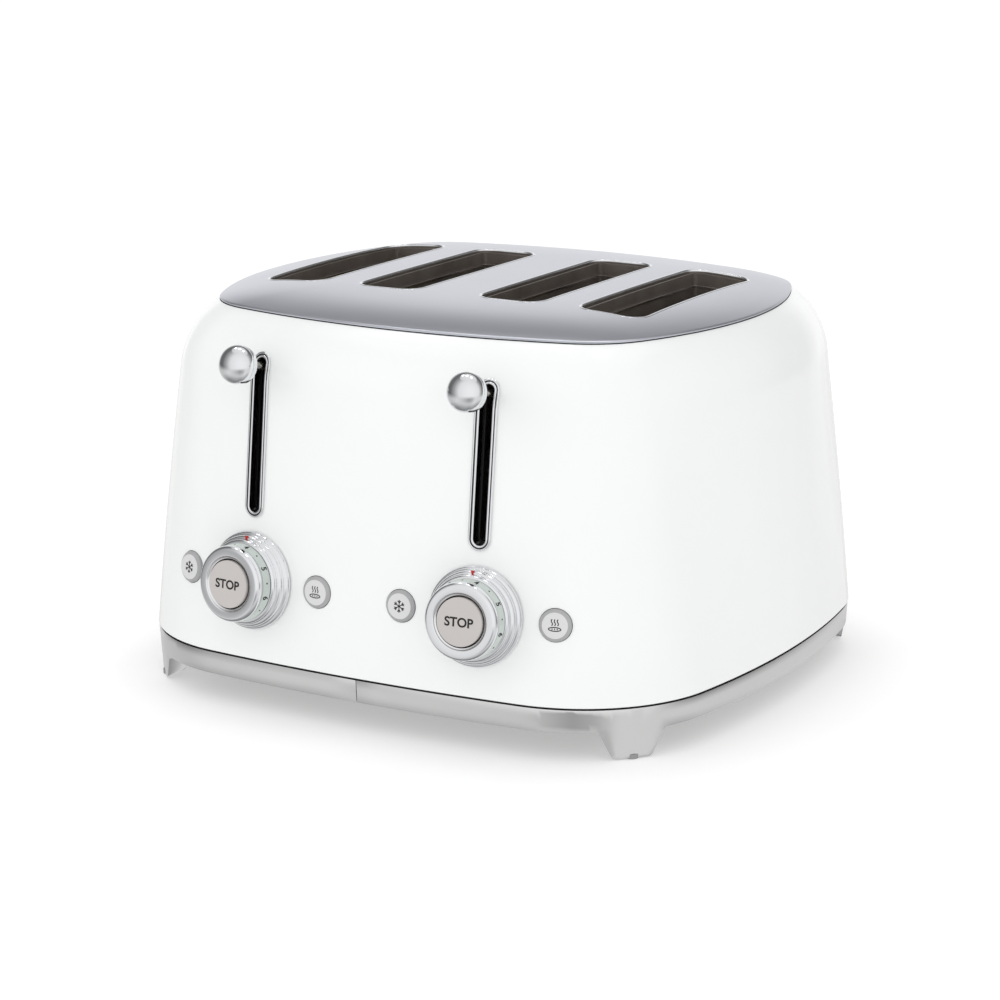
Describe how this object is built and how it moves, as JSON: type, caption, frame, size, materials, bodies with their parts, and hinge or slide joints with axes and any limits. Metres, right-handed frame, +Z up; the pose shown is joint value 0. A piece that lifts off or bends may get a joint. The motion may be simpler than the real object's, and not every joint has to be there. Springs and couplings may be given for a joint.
{
  "type": "pop up toaster",
  "caption": "Pop-up toaster with rounded enamelled casing, brushed steel top with long bread slots, ball-knob levers, browning dials, push buttons and a chromed plinth with feet.",
  "frame": {"origin": "middle of the whole footprint, on the surface the feet stand on", "axes": "+X to the right seen from the front, +Y to the back (the controls face -Y), +Z up"},
  "size_m": [0.341, 0.3369, 0.2126],
  "materials": {
    "casing_enamel": "gloss white stove enamel on steel sheet",
    "plate_steel": "fine brushed satin stainless steel",
    "plinth_chrome": "satin chrome plate",
    "chrome": "bright chrome plate",
    "black_rubber": "moulded black rubber",
    "black_plastic": "moulded black heat-resistant plastic",
    "stop_plastic": "satin warm grey plastic",
    "button_plastic": "satin light grey plastic",
    "circuit_board": "green laminate",
    "mica": "pressed mica sheet",
    "dark_sheet": "heat-darkened sheet",
    "spring_steel": "drawn spring wire",
    "inner_steel": "bright galvanised sheet"
  },
  "bodies": {
    "housing": {"base_pan": "inner_steel", "body_shell": "casing_enamel", "control_board_left": "circuit_board", "control_board_right": "circuit_board", "cord_gland": "black_plastic", "cord_winder": "black_plastic", "dial_bezel_left": "chrome", "dial_bezel_right": "chrome", "dial_encoder_left": "black_plastic", "dial_encoder_right": "black_plastic", "electromagnet_left": "inner_steel", "electromagnet_right": "inner_steel", "foot_pads": "black_rubber", "front_frame": "inner_steel", "guide_rods": "inner_steel", "heater_cards_left": "mica", "heater_cards_right": "mica", "lever_guide_left": "black_plastic", "lever_guide_right": "black_plastic", "lever_track_left": "chrome", "lever_track_right": "chrome", "pan_screws": "inner_steel", "plate_seal": "black_rubber", "plinth_gasket": "black_rubber", "plinth_left": "plinth_chrome", "plinth_right": "plinth_chrome", "rear_frame": "inner_steel", "return_spring_left": "spring_steel", "return_spring_right": "spring_steel", "side_shields": "inner_steel", "slot_liners": "dark_sheet", "top_plate": "plate_steel"},
    "lever_left": {"carriage_left": "inner_steel", "lever_arm_left": "inner_steel", "lever_knob_left": "chrome", "armature_left": "inner_steel", "bread_lifts_left": "inner_steel"},
    "guards_left_a": {"bread_guards_left_a": "inner_steel"},
    "guards_left_b": {"bread_guards_left_b": "inner_steel"},
    "dial_left": {"browning_dial_left": "chrome", "dial_spindle_left": "inner_steel"},
    "stop_left": {"stop_button_left": "stop_plastic"},
    "defrost_left": {"defrost_button_left": "button_plastic"},
    "warming_left": {"warming_button_left": "button_plastic"},
    "tray_left": {"crumb_tray_left": "inner_steel", "tray_front_left": "casing_enamel"},
    "lever_right": {"carriage_right": "inner_steel", "lever_arm_right": "inner_steel", "lever_knob_right": "chrome", "armature_right": "inner_steel", "bread_lifts_right": "inner_steel"},
    "guards_right_a": {"bread_guards_right_a": "inner_steel"},
    "guards_right_b": {"bread_guards_right_b": "inner_steel"},
    "dial_right": {"browning_dial_right": "chrome", "dial_spindle_right": "inner_steel"},
    "stop_right": {"stop_button_right": "stop_plastic"},
    "defrost_right": {"defrost_button_right": "button_plastic"},
    "warming_right": {"warming_button_right": "button_plastic"},
    "tray_right": {"crumb_tray_right": "inner_steel", "tray_front_right": "casing_enamel"}
  },
  "joints": [
    {"name": "lever_left_travel", "type": "slide", "parent": "housing", "child": "lever_left", "axis": [0, 0, -1], "range_m": [0, 0.07], "stiffness_N_per_m": 70, "springref_m": -0.06, "deforming": ["return_spring_left"]},
    {"name": "guards_left_a_close", "type": "slide", "parent": "housing", "child": "guards_left_a", "axis": [1, 0, 0], "range_m": [0, 0.0045]},
    {"name": "guards_left_b_close", "type": "slide", "parent": "housing", "child": "guards_left_b", "axis": [-1, 0, 0], "range_m": [0, 0.0045]},
    {"name": "dial_left_turn", "type": "hinge", "parent": "housing", "child": "dial_left", "pos_m": [-0.0671, -0.14937, 0.0692], "axis": [-0.0907, -0.9902, 0.1062], "range_deg": [-120, 105]},
    {"name": "stop_left_press", "type": "slide", "parent": "housing", "child": "stop_left", "axis": [0.0907, 0.9902, -0.1062], "range_m": [0, 0.0015], "stiffness_N_per_m": 600, "springref_m": -0.0015},
    {"name": "defrost_left_press", "type": "slide", "parent": "housing", "child": "defrost_left", "axis": [0.2809, 0.952, -0.1216], "range_m": [0, 0.0012], "stiffness_N_per_m": 600, "springref_m": -0.0015},
    {"name": "warming_left_press", "type": "slide", "parent": "housing", "child": "warming_left", "axis": [0.034, 0.9955, -0.0883], "range_m": [0, 0.0012], "stiffness_N_per_m": 600, "springref_m": -0.0015},
    {"name": "tray_left_pull", "type": "slide", "parent": "housing", "child": "tray_left", "axis": [0, 1, 0], "range_m": [0, 0.15]},
    {"name": "lever_right_travel", "type": "slide", "parent": "housing", "child": "lever_right", "axis": [0, 0, -1], "range_m": [0, 0.07], "stiffness_N_per_m": 70, "springref_m": -0.06, "deforming": ["return_spring_right"]},
    {"name": "guards_right_a_close", "type": "slide", "parent": "housing", "child": "guards_right_a", "axis": [1, 0, 0], "range_m": [0, 0.0045]},
    {"name": "guards_right_b_close", "type": "slide", "parent": "housing", "child": "guards_right_b", "axis": [-1, 0, 0], "range_m": [0, 0.0045]},
    {"name": "dial_right_turn", "type": "hinge", "parent": "housing", "child": "dial_right", "pos_m": [0.0671, -0.14937, 0.0692], "axis": [0.0907, -0.9902, 0.1062], "range_deg": [-120, 105]},
    {"name": "stop_right_press", "type": "slide", "parent": "housing", "child": "stop_right", "axis": [-0.0907, 0.9902, -0.1062], "range_m": [0, 0.0015], "stiffness_N_per_m": 600, "springref_m": -0.0015},
    {"name": "defrost_right_press", "type": "slide", "parent": "housing", "child": "defrost_right", "axis": [-0.034, 0.9955, -0.0883], "range_m": [0, 0.0012], "stiffness_N_per_m": 600, "springref_m": -0.0015},
    {"name": "warming_right_press", "type": "slide", "parent": "housing", "child": "warming_right", "axis": [-0.2809, 0.952, -0.1216], "range_m": [0, 0.0012], "stiffness_N_per_m": 600, "springref_m": -0.0015},
    {"name": "tray_right_pull", "type": "slide", "parent": "housing", "child": "tray_right", "axis": [0, 1, 0], "range_m": [0, 0.15]}
  ],
  "couplings": [
    {"joint": "guards_left_a_close", "follows": "lever_left_travel", "ratio": 0.064285},
    {"joint": "guards_left_b_close", "follows": "lever_left_travel", "ratio": 0.064285},
    {"joint": "guards_right_a_close", "follows": "lever_right_travel", "ratio": 0.064285},
    {"joint": "guards_right_b_close", "follows": "lever_right_travel", "ratio": 0.064285}
  ]
}
